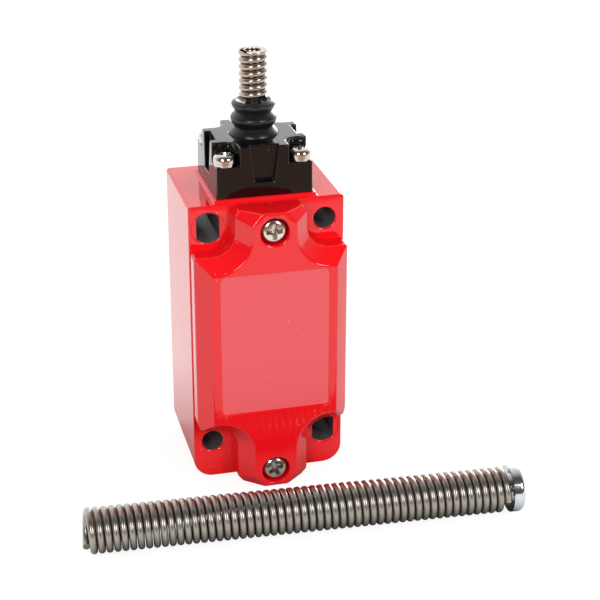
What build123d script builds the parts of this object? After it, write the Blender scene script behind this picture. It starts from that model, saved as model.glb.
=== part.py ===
from build123d import *
import math
import os

# Safety limit switch: a narrow die-cast housing, a screwed front cover, a square head with a
# rubber boot, and a stub spring that leans in any direction. A long coil spring with an end cap
# lies in front of it; in use it is pushed over the stub.
# X runs to the right, Y to the back and Z up. The origin is the centre of the conduit entry in
# the bottom face, at mid width and mid depth of the housing. All sizes are in millimetres.

# Room left between pieces
SLIP = 0.02
RUNNING = 0.05
CUT_PAST = 1.0

# Housing
HOUSING_WIDTH = 40.0
HOUSING_DEPTH = 33.0
HOUSING_HEIGHT = 76.3
BASE_CORNER = 5.0
TOP_CORNER = 0.8
BACK_EDGE = 2.5
BACK_WALL = 3.5
SIDE_WALL = 3.4
CAVITY_CORNER = 3.0
NECK_WIDTH = 12.0
NECK_HEIGHT = 5.0
PLINTH_HEIGHT = 0.8
PLINTH_MARGIN = 0.7

# Mounting holes: two round, two widened along the height
HOLE_SPACING_X = 30.0
HOLE_SPACING_Z = 60.0
HOLE_EDGE = 6.0
HOLE_TO_CAVITY = 8.7
HOLE_DIAMETER = 5.5
HOLE_LEAD = 0.3
SLOT_DIAMETER = 7.9
SLOT_WIDTH = 5.8
SLOT_RING_DIAMETER = 8.6
SLOT_RING_DEPTH = 0.3

# Conduit entry, bored to the crests of an M20 thread
CONDUIT_DIAMETER = 18.38
CONDUIT_LENGTH = 12.0
CONDUIT_PASSAGE = 15.0

# Cover
COVER_STEP = 0.25
COVER_WALL_HEIGHT = 4.8
COVER_HEIGHT = 9.0
FLANK_RUN = 3.75
SCALLOP_RADIUS = 5.7
TONGUE_DROP = 1.7
TONGUE_TIP = 3.0
TONGUE_ANGLE = 50.0
COVER_BASE_ROUND = 3.0
COVER_TOP_ROUND = 0.8
COVER_SKIN = 2.2
POCKET_INSET = 0.6
PANEL_WIDTH = 28.0
PANEL_HEIGHT = 38.0
PANEL_MARGIN = 0.4
PANEL_DEPTH = 0.15
PANEL_CORNER = 1.5

# Cover gasket
GASKET_INSET = 1.0
GASKET_WIDTH = 1.2
GASKET_THICKNESS = 0.95

# Cover screws
COVER_SCREW_TOP_EDGE = 5.1
COVER_SCREW_BASE_EDGE = 4.6
COVER_SCREW_SEAT = 3.0
COVER_SCREW_BORE = 7.3
COVER_SCREW_LENGTH = 11.0
M3 = 3.0
M3_ROOM = 0.4
COVER_SCREW_HEAD = 6.1
SCREW_HEAD_HEIGHT = 2.2
SCREW_HEAD_SIDE = 1.0
SCREW_CROWN = 0.33
BLIND_ROOM = 0.6

# Head
HEAD_AXIS_Y = -2.6
HEAD_WIDTH = 24.8
HEAD_HEIGHT = 12.9
HEAD_DRAFT = 1.0
HEAD_EDGE = 0.5
SHOULDER_HEIGHT = 8.15
ARM_HALF = 6.3
POCKET_CORNER = 2.8
HEAD_SCREW_SPACING = 19.4
HEAD_SCREW_HEAD = 5.3
HEAD_SCREW_LENGTH = 15.0
WASHER_THICKNESS = 0.7
WASHER_SPLIT = 0.4
NOTCH_TOP_WIDTH = 7.6
NOTCH_BASE_WIDTH = 4.8
NOTCH_HEIGHT = 9.2
NOTCH_DEPTH = 1.9
HEAD_BORE = 17.2
HEAD_BORE_HEIGHT = 9.1
HEAD_HOLE = 9.4
BOOT_SEAT_DIAMETER = 14.2
BOOT_SEAT_DEPTH = 2.5
HEAD_SEAL_DIAMETER = 19.8
HEAD_SEAL_WIRE = 1.0

# Rocker, pivot ring and stem
RING_THICKNESS = 1.2
RING_HOLE = 10.4
ROCKER_RADIUS = 7.0
ROCKER_THICKNESS = 1.8
STEM_DIAMETER = 5.0
COLLAR_DIAMETER = 4.0
COLLAR_LEVEL = 6.0
COLLAR_HEIGHT = 2.2
CORE_DIAMETER = 3.7
CORE_EDGE = 0.3
KNURL_COUNT = 12
KNURL_DEPTH = 0.5

# Stub spring on the stem
STUB_DIAMETER = 7.3
STUB_WIRE = 1.75
STUB_PITCH = 1.8
STUB_TURNS = 6.95
STUB_START = -30.0
STUB_GRIND = 0.95
STUB_WIRE_SIDES = 8

# Rubber boot: radius and height above the head for each ring and groove
BOOT_RINGS = ((6.3, -0.2), (5.9, 4.1), (5.6, 7.9))
BOOT_GROOVES = ((4.95, 1.9), (4.65, 5.8))
BOOT_NECK = 5.2
BOOT_LIP_HEIGHT = 0.9
BOOT_RING_HALF = 0.75
BOOT_RIM_RISE = 0.1
BOOT_CUP_LEVEL = 1.75
BOOT_WALL = 1.1
BOOT_ROOF = 0.9

# Plunger, guide bush and lip seal
PLUNGER_DIAMETER = 5.0
PLUNGER_HEAD = 6.6
PLUNGER_HEAD_HEIGHT = 2.2
PLUNGER_DOME = 5.0
PLUNGER_TRAVEL = 2.1
BUSH_DIAMETER = 9.0
SEAL_HEIGHT = 2.0

# Contact block and what it holds
BLOCK_SIDE_ROOM = 1.6
BLOCK_FRONT = 5.5
BLOCK_HEIGHT = 30.8
BLOCK_TOP_ROOM = 3.2
BLOCK_FLOOR = 2.4
CHAMBER_WIDTH = 17.8
CHAMBER_DEPTH = 8.4
CHAMBER_BASE = 8.4
CHAMBER_HEIGHT = 17.0
CARRIER_WIDTH = 6.0
CARRIER_DEPTH = 7.0
CARRIER_RISE = 1.7
CARRIER_SPRING_ROOM = 5.0
BRIDGE_LENGTH = 16.4
BRIDGE_WIDTH = 3.6
STRIP = 0.8
TIP_DIAMETER = 2.4
TIP_HEIGHT = 0.6
TIP_OFFSET = 6.5
CLOSED_LEVEL = 21.4
OPEN_LEVEL = 13.4
WINDOW_HEIGHT = 3.9
STRAP_START = 4.4
STRAP_MARGIN = 1.4
TERMINAL_MARGIN = 4.0
TERMINAL_DROP = 4.2
TERMINAL_SIZE = 6.8
TERMINAL_WELL = 7.2
TERMINAL_WELL_DEPTH = 3.2
CLAMP_THICKNESS = 0.9
CLAMP_CORNER = 0.5
TERMINAL_SCREW_HEAD = 6.2
TERMINAL_SCREW_LENGTH = 6.6
M35 = 3.5
BLOCK_SCREW_MARGIN = 3.5
BLOCK_SCREW_LEVEL = 12.8
BLOCK_SCREW_GRIP = 3.0
BLOCK_SCREW_SINK = 3.0

# Springs inside
COIL_WIRE = 0.5
PLUNGER_SPRING_DIAMETER = 6.3
PLUNGER_SPRING_TURNS = 3
CARRIER_SPRING_DIAMETER = 4.6
CARRIER_SPRING_TURNS = 4
CONTACT_SPRING_DIAMETER = 2.8
CONTACT_SPRING_TURNS = 3

# Earth terminal in the cavity
EARTH_MARGIN = 4.5
EARTH_ABOVE_FLOOR = 4.2
EARTH_BOSS_DIAMETER = 7.4
EARTH_BOSS_HEIGHT = 8.0

# Long spring rod, lying in front of the switch
ROD_LENGTH = 110.4
ROD_DIAMETER = 11.4
ROD_BORE = 7.8
ROD_PITCH = 1.92
ROD_VALLEY = 0.75
ROD_CENTRE_X = 2.0
ROD_DISTANCE = 31.1
ROD_YAW = -3.0
CAP_DIAMETER = 11.8
CAP_THICKNESS = 3.0
CAP_GAP = 0.5
CAP_PIN_DIAMETER = 7.7
CAP_PIN_LENGTH = 7.0
CAP_ROUND = 1.1

# Places worked out from the sizes
LAND_Y = -HOUSING_DEPTH / 2
BACK_Y = HOUSING_DEPTH / 2
CAVITY_BACK_Y = BACK_Y - BACK_WALL
CAVITY_HALF = HOUSING_WIDTH / 2 - SIDE_WALL
HOLE_X = HOLE_SPACING_X / 2
HOLE_TOP_Z = HOUSING_HEIGHT - HOLE_EDGE
HOLE_BASE_Z = HOLE_TOP_Z - HOLE_SPACING_Z
CAVITY_TOP_Z = HOLE_TOP_Z - HOLE_TO_CAVITY
CAVITY_BASE_Z = HOLE_BASE_Z + HOLE_TO_CAVITY
NECK_TOP_Z = CAVITY_TOP_Z + NECK_HEIGHT
HEAD_BASE_Z = HOUSING_HEIGHT + PLINTH_HEIGHT
HEAD_TOP_Z = HEAD_BASE_Z + HEAD_HEIGHT
SHOULDER_Z = HEAD_BASE_Z + SHOULDER_HEIGHT
BOOT_SEAT_Z = HEAD_TOP_Z - BOOT_SEAT_DEPTH
RING_TOP_Z = HEAD_BASE_Z + HEAD_BORE_HEIGHT - SLIP
RING_BASE_Z = RING_TOP_Z - RING_THICKNESS
ROCKER_TOP_Z = RING_BASE_Z - RUNNING
ROCKER_BASE_Z = ROCKER_TOP_Z - ROCKER_THICKNESS
PLUNGER_TOP_Z = ROCKER_BASE_Z - RUNNING
COLLAR_BASE_Z = HEAD_TOP_Z + COLLAR_LEVEL
STUB_BASE_Z = COLLAR_BASE_Z + COLLAR_HEIGHT
BLOCK_HALF = CAVITY_HALF - BLOCK_SIDE_ROOM
STRAP_END = BLOCK_HALF - STRAP_MARGIN
TERMINAL_OFFSET = BLOCK_HALF - TERMINAL_MARGIN
BLOCK_SCREW_OFFSET = BLOCK_HALF - BLOCK_SCREW_MARGIN
EARTH_X = EARTH_MARGIN - BLOCK_HALF
BLOCK_TOP_Z = CAVITY_TOP_Z - BLOCK_TOP_ROOM
BLOCK_BASE_Z = BLOCK_TOP_Z - BLOCK_HEIGHT
BLOCK_FRONT_Y = LAND_Y + BLOCK_FRONT
BLOCK_FLOOR_Z = BLOCK_BASE_Z + BLOCK_FLOOR
CARRIER_TOP_Z = BLOCK_TOP_Z + CARRIER_RISE
CARRIER_BASE_Z = BLOCK_FLOOR_Z + CARRIER_SPRING_ROOM
PLUNGER_BASE_Z = CARRIER_TOP_Z + RUNNING
CLOSED_Z = BLOCK_BASE_Z + CLOSED_LEVEL
OPEN_Z = BLOCK_BASE_Z + OPEN_LEVEL
OPEN_GAP = PLUNGER_TRAVEL + RUNNING
PAD_Y = BLOCK_FRONT_Y + TERMINAL_WELL_DEPTH
BUSH_TOP_Z = HEAD_BASE_Z - SEAL_HEIGHT
COVER_TOP_Y = LAND_Y - COVER_HEIGHT
COVER_HALF = HOUSING_WIDTH / 2 - COVER_STEP
ROD_Z = CAP_DIAMETER / 2
ROD_Y = LAND_Y - ROD_DISTANCE

UPRIGHT = (Align.CENTER, Align.CENTER, Align.MIN)


def front_plane(y):
    """Plane that faces forward at depth y, with X right and Z up in it."""
    return Plane(origin=(0, y, 0), x_dir=(1, 0, 0), z_dir=(0, -1, 0))


def forward(sketch, y, length):
    """Solid of a front-view sketch, from depth y towards the front."""
    return extrude(front_plane(y) * sketch, amount=length)


def post(x, y, z, diameter, height):
    """Upright round post whose lower end is at z."""
    return Pos(x, y, z) * Cylinder(diameter / 2, height, align=UPRIGHT)


def rod_forward(x, y, z, diameter, length):
    """Round rod from depth y towards the front."""
    return forward(Pos(x, z) * Circle(diameter / 2), y, length)


def slab(x0, x1, y0, y1, z0, z1):
    """Plain block between two corners."""
    middle = Pos((x0 + x1) / 2, (y0 + y1) / 2, (z0 + z1) / 2)
    return middle * Box(x1 - x0, y1 - y0, z1 - z0)


def group(solids):
    """Separate solids kept together in one node."""
    return Compound(children=list(solids))


def coil(diameter, wire, pitch, height, section):
    """Round or square wire wound to the right, starting on +X at height zero."""
    path = Helix(pitch=pitch, height=height, radius=(diameter - wire) / 2)
    start = Plane(origin=path @ 0, x_dir=(0, 0, 1), z_dir=path % 0)
    return sweep(start * section, path=path, is_frenet=True)


def compression_spring(diameter, turns, length):
    """Small inner spring of square-drawn wire that stands on height zero."""
    rise = length - COIL_WIRE
    lifted = coil(diameter, COIL_WIRE, rise / turns, rise, Rectangle(COIL_WIRE, COIL_WIRE))
    square = Pos(0, 0, COIL_WIRE / 2) * lifted
    bounds = Pos(0, 0, length / 2) * Box(2 * diameter, 2 * diameter, length)
    return square & bounds


def pan_screw(head, shank, length):
    """Pan-head screw that points down, with its seat at height zero."""
    side = Cylinder(head / 2, SCREW_HEAD_SIDE, align=UPRIGHT)
    crown = Cone(head / 2, head * SCREW_CROWN, SCREW_HEAD_HEIGHT - SCREW_HEAD_SIDE, align=UPRIGHT)
    top = side + Pos(0, 0, SCREW_HEAD_SIDE) * crown
    return top + Pos(0, 0, -length) * Cylinder(shank / 2, length, align=UPRIGHT)


def front_screw(x, y, z, head, shank, length):
    """Pan-head screw driven in from the front, seated at depth y."""
    return Pos(x, y, z) * Rot(90, 0, 0) * pan_screw(head, shank, length)


def corners(half):
    """Four places around the head's axis."""
    return [(sx * half, HEAD_AXIS_Y + sy * half) for sx in (-1, 1) for sy in (-1, 1)]


def cavity_outline(inset):
    """Front view of the wiring space with its neck, grown outwards by inset."""
    width = 2 * CAVITY_HALF
    height = CAVITY_TOP_Z - CAVITY_BASE_Z
    room = Pos(0, (CAVITY_TOP_Z + CAVITY_BASE_Z) / 2)
    room = room * RectangleRounded(width + 2 * inset, height + 2 * inset, CAVITY_CORNER + inset)
    neck_base = CAVITY_TOP_Z - CAVITY_CORNER
    neck_height = NECK_TOP_Z + inset - neck_base
    neck = Pos(0, neck_base + neck_height / 2) * Rectangle(NECK_WIDTH + 2 * inset, neck_height)
    return room + neck


def slot_outline(diameter):
    """Round hole whose left and right sides are flat."""
    return Circle(diameter / 2) & Rectangle(SLOT_WIDTH, diameter)


def housing_shell():
    """Outer form of the die casting, with the square seat for the head."""
    outline = Pos(0, HOUSING_HEIGHT / 2) * Rectangle(HOUSING_WIDTH, HOUSING_HEIGHT)
    shell = forward(outline, BACK_Y, HOUSING_DEPTH)
    along = shell.edges().filter_by(Axis.Y).group_by(Axis.Z)
    shell = fillet(along[0], BASE_CORNER)
    along = shell.edges().filter_by(Axis.Y).group_by(Axis.Z)
    shell = fillet(along[-1], TOP_CORNER)
    upright = shell.edges().filter_by(Axis.Z).group_by(Axis.Y)
    shell = fillet(upright[-1], BACK_EDGE)
    seat = HEAD_WIDTH + 2 * PLINTH_MARGIN
    plinth = Pos(0, HEAD_AXIS_Y, HOUSING_HEIGHT - PLINTH_HEIGHT) * Box(
        seat, seat, 2 * PLINTH_HEIGHT, align=UPRIGHT)
    return shell + plinth


def mounting_hole(x, z):
    """Round through hole with a small lead at both faces."""
    hole = rod_forward(x, BACK_Y, z, HOLE_DIAMETER, HOUSING_DEPTH)
    mouth = Cone(HOLE_DIAMETER / 2 + HOLE_LEAD, HOLE_DIAMETER / 2, HOLE_LEAD, align=UPRIGHT)
    front = Pos(x, LAND_Y, z) * Rot(-90, 0, 0) * mouth
    back = Pos(x, BACK_Y, z) * Rot(90, 0, 0) * mouth
    return hole + front + back


def mounting_slot(x, z):
    """Through hole that leaves room along the height, in a shallow turned ring."""
    slot = forward(Pos(x, z) * slot_outline(SLOT_DIAMETER), BACK_Y, HOUSING_DEPTH)
    ring_y = LAND_Y + SLOT_RING_DEPTH
    ring = rod_forward(x, ring_y, z, SLOT_RING_DIAMETER, SLOT_RING_DEPTH)
    return slot + ring


def conduit_hole():
    """Threaded entry from below and its passage into the cavity."""
    thread = post(0, 0, 0, CONDUIT_DIAMETER, CONDUIT_LENGTH)
    rise = CAVITY_BASE_Z + CUT_PAST - CONDUIT_LENGTH
    return thread + post(0, 0, CONDUIT_LENGTH, CONDUIT_PASSAGE, rise)


def cover_screw_places():
    """Heights of the two cover screws."""
    return (HOUSING_HEIGHT - COVER_SCREW_TOP_EDGE, COVER_SCREW_BASE_EDGE)


def housing():
    """Die-cast body, open to the front under the cover."""
    body = housing_shell()
    body -= forward(cavity_outline(0), CAVITY_BACK_Y, CAVITY_BACK_Y - LAND_Y)
    earth_z = CAVITY_BASE_Z + EARTH_ABOVE_FLOOR
    boss = rod_forward(EARTH_X, CAVITY_BACK_Y, earth_z, EARTH_BOSS_DIAMETER, EARTH_BOSS_HEIGHT)
    body += boss
    body -= conduit_hole()
    for side in (-1, 1):
        body -= mounting_hole(side * HOLE_X, HOLE_TOP_Z if side > 0 else HOLE_BASE_Z)
        body -= mounting_slot(side * HOLE_X, HOLE_BASE_Z if side > 0 else HOLE_TOP_Z)
    bush_length = HEAD_BASE_Z - NECK_TOP_Z
    body -= post(0, HEAD_AXIS_Y, NECK_TOP_Z, BUSH_DIAMETER + 2 * SLIP, bush_length)
    grip = COVER_SCREW_LENGTH - (COVER_HEIGHT - COVER_SCREW_SEAT)
    for z in cover_screw_places():
        depth = grip + BLIND_ROOM
        body -= rod_forward(0, LAND_Y + depth, z, M3 + 2 * SLIP, depth)
    depth = HEAD_SCREW_LENGTH - SHOULDER_HEIGHT - WASHER_THICKNESS + BLIND_ROOM
    for x, y in corners(HEAD_SCREW_SPACING / 2):
        body -= post(x, y, HEAD_BASE_Z - depth, M3 + 2 * SLIP, depth)
    for side in (-1, 1):
        x = side * BLOCK_SCREW_OFFSET
        z = BLOCK_BASE_Z + BLOCK_SCREW_LEVEL
        body -= rod_forward(x, CAVITY_BACK_Y + BLOCK_SCREW_GRIP, z, M3 + 2 * SLIP, BLOCK_SCREW_GRIP)
    earth_depth = TERMINAL_SCREW_LENGTH
    earth_front = CAVITY_BACK_Y - EARTH_BOSS_HEIGHT
    body -= rod_forward(EARTH_X, earth_front + earth_depth, earth_z, M35 + 2 * SLIP, earth_depth)
    return body


def cover_outline():
    """Front view of the cover: full width in the middle, a tongue at each end."""
    tongue = HOLE_X - SCALLOP_RADIUS
    reach = (tongue - TONGUE_TIP) * math.tan(math.radians(TONGUE_ANGLE))
    top = HOUSING_HEIGHT - TONGUE_DROP
    base = TONGUE_DROP
    body = Polygon(
        (-COVER_HALF, HOLE_BASE_Z), (COVER_HALF, HOLE_BASE_Z),
        (COVER_HALF, HOLE_TOP_Z), (-COVER_HALF, HOLE_TOP_Z), align=None)
    tongues = Polygon(
        (-tongue, base), (-TONGUE_TIP, base - reach), (TONGUE_TIP, base - reach),
        (tongue, base), (tongue, top), (TONGUE_TIP, top + reach),
        (-TONGUE_TIP, top + reach), (-tongue, top), align=None)
    outline = body + tongues
    for side in (-1, 1):
        for z, way in ((HOLE_TOP_Z, 1), (HOLE_BASE_Z, -1)):
            centre = Pos(side * HOLE_X, z)
            outline -= centre * Circle(SCALLOP_RADIUS)
            strip = Rectangle(2 * SCALLOP_RADIUS, SCALLOP_RADIUS)
            middle = (side * (HOLE_X + SCALLOP_RADIUS), z - way * SCALLOP_RADIUS / 2)
            outline -= Pos(*middle) * strip
    return outline


def cover_prism(height):
    """Straight-walled block of the cover's outline, with its outer corners rounded."""
    block = forward(cover_outline(), LAND_Y, height)
    edge = block.edges().filter_by(Axis.Y).group_by(Axis.X)
    outer = list(edge[0]) + list(edge[-1])
    middle = (HOLE_TOP_Z + HOLE_BASE_Z) / 2
    block = fillet([e for e in outer if e.center().Z < middle], COVER_BASE_ROUND)
    edge = block.edges().filter_by(Axis.Y)
    outer = [e for e in edge if abs(abs(e.center().X) - COVER_HALF) < SLIP]
    return fillet([e for e in outer if e.center().Z > middle], COVER_TOP_ROUND)


def cover():
    """Front cover: low walls, sloping flanks round the hole scallops, a flat front."""
    wall = forward(cover_outline(), LAND_Y, COVER_WALL_HEIGHT)
    slope = COVER_HEIGHT - COVER_WALL_HEIGHT
    taper = math.degrees(math.atan2(FLANK_RUN, slope))
    start = front_plane(LAND_Y - COVER_WALL_HEIGHT) * cover_outline()
    flank = extrude(start, amount=slope, taper=taper)
    body = (wall + flank) & cover_prism(COVER_HEIGHT)
    body &= slab(-HOUSING_WIDTH, HOUSING_WIDTH, COVER_TOP_Y - CUT_PAST, LAND_Y, 0, HOUSING_HEIGHT)
    middle = (CAVITY_TOP_Z + CAVITY_BASE_Z) / 2
    width = 2 * (CAVITY_HALF - POCKET_INSET)
    height = CAVITY_TOP_Z - CAVITY_BASE_Z - 2 * POCKET_INSET
    pocket = Pos(0, middle) * RectangleRounded(width, height, CAVITY_CORNER)
    body -= forward(pocket, LAND_Y, COVER_HEIGHT - COVER_SKIN)
    body -= forward(gasket_outline(), LAND_Y, GASKET_THICKNESS)
    panel_middle = HOLE_TOP_Z - SCALLOP_RADIUS - FLANK_RUN - PANEL_MARGIN - PANEL_HEIGHT / 2
    panel = Pos(0, panel_middle) * RectangleRounded(PANEL_WIDTH, PANEL_HEIGHT, PANEL_CORNER)
    body -= forward(panel, COVER_TOP_Y + PANEL_DEPTH, PANEL_DEPTH)
    for z in cover_screw_places():
        body -= rod_forward(0, LAND_Y, z, M3 + M3_ROOM, COVER_HEIGHT)
        seat_y = COVER_TOP_Y + COVER_SCREW_SEAT
        body -= rod_forward(0, seat_y, z, COVER_SCREW_BORE, COVER_SCREW_SEAT)
    return body


def gasket_outline():
    """Closed band that follows the mouth of the cavity."""
    outer = cavity_outline(GASKET_INSET + GASKET_WIDTH)
    return outer - cavity_outline(GASKET_INSET)


def cover_gasket():
    """Rubber band in the cover's groove, pressed on the housing's front face."""
    return forward(gasket_outline(), LAND_Y, GASKET_THICKNESS)


def cover_screws():
    """Two screws sunk in the cover's round seats."""
    seat_y = COVER_TOP_Y + COVER_SCREW_SEAT
    return group(
        front_screw(0, seat_y, z, COVER_SCREW_HEAD, M3, COVER_SCREW_LENGTH)
        for z in cover_screw_places())


def head_notch():
    """Tapered recess in the middle of the head's front side, open at the top."""
    top = HEAD_TOP_Z + CUT_PAST
    base = HEAD_TOP_Z - NOTCH_HEIGHT
    outline = Polygon(
        (-NOTCH_BASE_WIDTH / 2, base), (NOTCH_BASE_WIDTH / 2, base),
        (NOTCH_TOP_WIDTH / 2, top), (-NOTCH_TOP_WIDTH / 2, top), align=None)
    inner = HEAD_WIDTH / 2 - NOTCH_DEPTH
    return Pos(0, HEAD_AXIS_Y, 0) * forward(outline, -inner, NOTCH_DEPTH + CUT_PAST)


def screw_pocket():
    """Space above one screw shoulder at the head's right back corner."""
    size = HEAD_WIDTH
    height = HEAD_HEIGHT - SHOULDER_HEIGHT + CUT_PAST
    corner = Pos(ARM_HALF + size / 2, ARM_HALF + size / 2)
    outline = corner * RectangleRounded(size, size, POCKET_CORNER)
    return Pos(0, HEAD_AXIS_Y, SHOULDER_Z) * extrude(outline, amount=height)


def turned(solid, angle):
    """The same shape turned round the head's axis."""
    return Pos(0, HEAD_AXIS_Y, 0) * Rot(0, 0, angle) * Pos(0, -HEAD_AXIS_Y, 0) * solid


def head():
    """Moulded head: square foot, four screw shoulders and four side recesses."""
    foot = Pos(0, HEAD_AXIS_Y, HEAD_BASE_Z) * RectangleRounded(HEAD_WIDTH, HEAD_WIDTH, HEAD_EDGE)
    body = extrude(foot, amount=HEAD_HEIGHT, taper=HEAD_DRAFT)
    for quarter in range(4):
        body -= turned(screw_pocket(), 90 * quarter)
        body -= turned(head_notch(), 90 * quarter)
    body -= post(0, HEAD_AXIS_Y, HEAD_BASE_Z, HEAD_BORE, HEAD_BORE_HEIGHT)
    body -= post(0, HEAD_AXIS_Y, HEAD_BASE_Z, HEAD_HOLE, HEAD_HEIGHT)
    body -= post(0, HEAD_AXIS_Y, BOOT_SEAT_Z, BOOT_SEAT_DIAMETER, BOOT_SEAT_DEPTH)
    for x, y in corners(HEAD_SCREW_SPACING / 2):
        body -= post(x, y, HEAD_BASE_Z, M3 + M3_ROOM, HEAD_HEIGHT)
    return body - head_gasket()


def head_gasket():
    """Square-cut rubber ring in the head's foot."""
    outer = post(0, HEAD_AXIS_Y, HEAD_BASE_Z, HEAD_SEAL_DIAMETER + HEAD_SEAL_WIRE, HEAD_SEAL_WIRE)
    inner = post(0, HEAD_AXIS_Y, HEAD_BASE_Z, HEAD_SEAL_DIAMETER - HEAD_SEAL_WIRE, HEAD_SEAL_WIRE)
    return outer - inner


def head_screws():
    """Four screws that hold the head on its seat."""
    z = SHOULDER_Z + WASHER_THICKNESS
    screw = pan_screw(HEAD_SCREW_HEAD, M3, HEAD_SCREW_LENGTH)
    return group(Pos(x, y, z) * screw for x, y in corners(HEAD_SCREW_SPACING / 2))


def head_washers():
    """Split spring washers under the head screws."""
    ring = Cylinder(HEAD_SCREW_HEAD / 2, WASHER_THICKNESS, align=UPRIGHT)
    ring -= Cylinder(M3 / 2 + SLIP, WASHER_THICKNESS, align=UPRIGHT)
    ring -= Pos(HEAD_SCREW_HEAD / 2, 0, 0) * Box(HEAD_SCREW_HEAD, WASHER_SPLIT, 2 * WASHER_THICKNESS)
    return group(Pos(x, y, SHOULDER_Z) * ring for x, y in corners(HEAD_SCREW_SPACING / 2))


def pivot_ring():
    """Hardened ring under the head's roof, on which the rocker tips."""
    outer = post(0, HEAD_AXIS_Y, RING_BASE_Z, HEAD_BORE - 2 * RUNNING, RING_THICKNESS)
    return outer - post(0, HEAD_AXIS_Y, RING_BASE_Z, RING_HOLE, RING_THICKNESS)


def stem_rocker():
    """Rocking disc, stem, knurled collar and the core that the stub spring grips."""
    disc = post(0, HEAD_AXIS_Y, ROCKER_BASE_Z, 2 * ROCKER_RADIUS, ROCKER_THICKNESS)
    stem = post(0, HEAD_AXIS_Y, ROCKER_TOP_Z, STEM_DIAMETER, BOOT_SEAT_Z - ROCKER_TOP_Z)
    shank = post(0, HEAD_AXIS_Y, BOOT_SEAT_Z, COLLAR_DIAMETER, COLLAR_BASE_Z - BOOT_SEAT_Z)
    collar = post(0, HEAD_AXIS_Y, COLLAR_BASE_Z, COLLAR_DIAMETER, COLLAR_HEIGHT)
    for index in range(KNURL_COUNT):
        angle = 360 * index / KNURL_COUNT
        groove = Box(KNURL_DEPTH, KNURL_DEPTH, COLLAR_HEIGHT, align=UPRIGHT)
        place = Pos(0, HEAD_AXIS_Y, COLLAR_BASE_Z) * Rot(0, 0, angle)
        collar -= place * Pos(COLLAR_DIAMETER / 2, 0, COLLAR_HEIGHT / 2) * groove
    core_top = stub_top() - STUB_WIRE
    core = post(0, HEAD_AXIS_Y, STUB_BASE_Z, CORE_DIAMETER, core_top - STUB_BASE_Z)
    rim = core.edges().sort_by(Axis.Z)[-1:]
    core = chamfer(rim, CORE_EDGE)
    return disc + stem + shank + collar + core


def stub_top():
    """Height of the stub spring's ground end."""
    return STUB_BASE_Z + STUB_PITCH * STUB_TURNS + STUB_WIRE - STUB_GRIND


def stub_spring():
    """Open-wound stub spring, pressed on the core and ground flat at the top."""
    height = STUB_PITCH * STUB_TURNS
    section = RegularPolygon(STUB_WIRE / 2, STUB_WIRE_SIDES)
    wound = coil(STUB_DIAMETER, STUB_WIRE, STUB_PITCH, height, section)
    base = STUB_BASE_Z + STUB_WIRE / 2
    wound = Pos(0, HEAD_AXIS_Y, base) * Rot(0, 0, STUB_START) * wound
    keep = post(0, HEAD_AXIS_Y, HEAD_TOP_Z, 2 * STUB_DIAMETER, stub_top() - HEAD_TOP_Z)
    return wound & keep


def boot_outer(z0):
    """Right-hand outline of the boot, from its lip to its top, as radius and height."""
    points = [(BOOT_SEAT_DIAMETER / 2 - RUNNING, BOOT_SEAT_Z + SLIP)]
    points.append((points[0][0], points[0][1] + BOOT_LIP_HEIGHT))
    points.append((BOOT_NECK, points[1][1]))
    for ring, groove in zip(BOOT_RINGS, BOOT_GROOVES + (None,)):
        radius, level = ring
        points.append((radius, z0 + level - BOOT_RING_HALF))
        points.append((radius, z0 + level + BOOT_RING_HALF))
        if groove:
            points.append((groove[0], z0 + groove[1]))
    return points


def boot():
    """Rubber boot with three rings, its lip held in the head and its top on the stem."""
    outer = boot_outer(HEAD_TOP_Z)
    bore = COLLAR_DIAMETER / 2 + RUNNING
    rim = (outer[-1][0] - BOOT_WALL, outer[-1][1] + BOOT_RIM_RISE)
    cup = COLLAR_BASE_Z + BOOT_CUP_LEVEL
    roof = cup - BOOT_ROOF
    inner = [(radius - BOOT_WALL, z) for radius, z in outer[2:-2]]
    points = outer + [rim, (bore, cup), (bore, roof), (inner[-1][0], roof)]
    points += inner[::-1] + [(inner[0][0], outer[0][1])]
    profile = Plane.XZ * Polygon(*points, align=None)
    return Pos(0, HEAD_AXIS_Y, 0) * revolve(profile, Axis.Z)


def plunger():
    """Domed push rod between the rocker and the contact carrier."""
    cap_base = PLUNGER_TOP_Z - PLUNGER_HEAD_HEIGHT
    rod = post(0, HEAD_AXIS_Y, PLUNGER_BASE_Z, PLUNGER_DIAMETER, cap_base - PLUNGER_BASE_Z)
    cap = post(0, HEAD_AXIS_Y, cap_base, PLUNGER_HEAD, PLUNGER_HEAD_HEIGHT)
    dome = Pos(0, HEAD_AXIS_Y, PLUNGER_TOP_Z - PLUNGER_DOME) * Sphere(PLUNGER_DOME)
    return rod + (cap & dome)


def guide_bush():
    """Bronze bush pressed in the housing's roof."""
    height = BUSH_TOP_Z - NECK_TOP_Z
    bush = post(0, HEAD_AXIS_Y, NECK_TOP_Z, BUSH_DIAMETER, height)
    return bush - post(0, HEAD_AXIS_Y, NECK_TOP_Z, PLUNGER_DIAMETER + 2 * RUNNING, height)


def plunger_seal():
    """Rubber lip seal above the bush."""
    ring = post(0, HEAD_AXIS_Y, BUSH_TOP_Z, BUSH_DIAMETER, SEAL_HEIGHT)
    return ring - post(0, HEAD_AXIS_Y, BUSH_TOP_Z, PLUNGER_DIAMETER + 2 * RUNNING, SEAL_HEIGHT)


def plunger_spring():
    """Return spring between the seal and the plunger's head."""
    length = PLUNGER_TOP_Z - PLUNGER_HEAD_HEIGHT - HEAD_BASE_Z
    spring = compression_spring(PLUNGER_SPRING_DIAMETER, PLUNGER_SPRING_TURNS, length)
    return Pos(0, HEAD_AXIS_Y, HEAD_BASE_Z) * spring


def strap_levels():
    """Underside height and pad direction of the closed and the open contact straps."""
    closed = CLOSED_Z + STRIP + 2 * TIP_HEIGHT + RUNNING
    opened = OPEN_Z - 2 * TIP_HEIGHT - OPEN_GAP - STRIP
    return ((closed, 1), (opened, -1))


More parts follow.
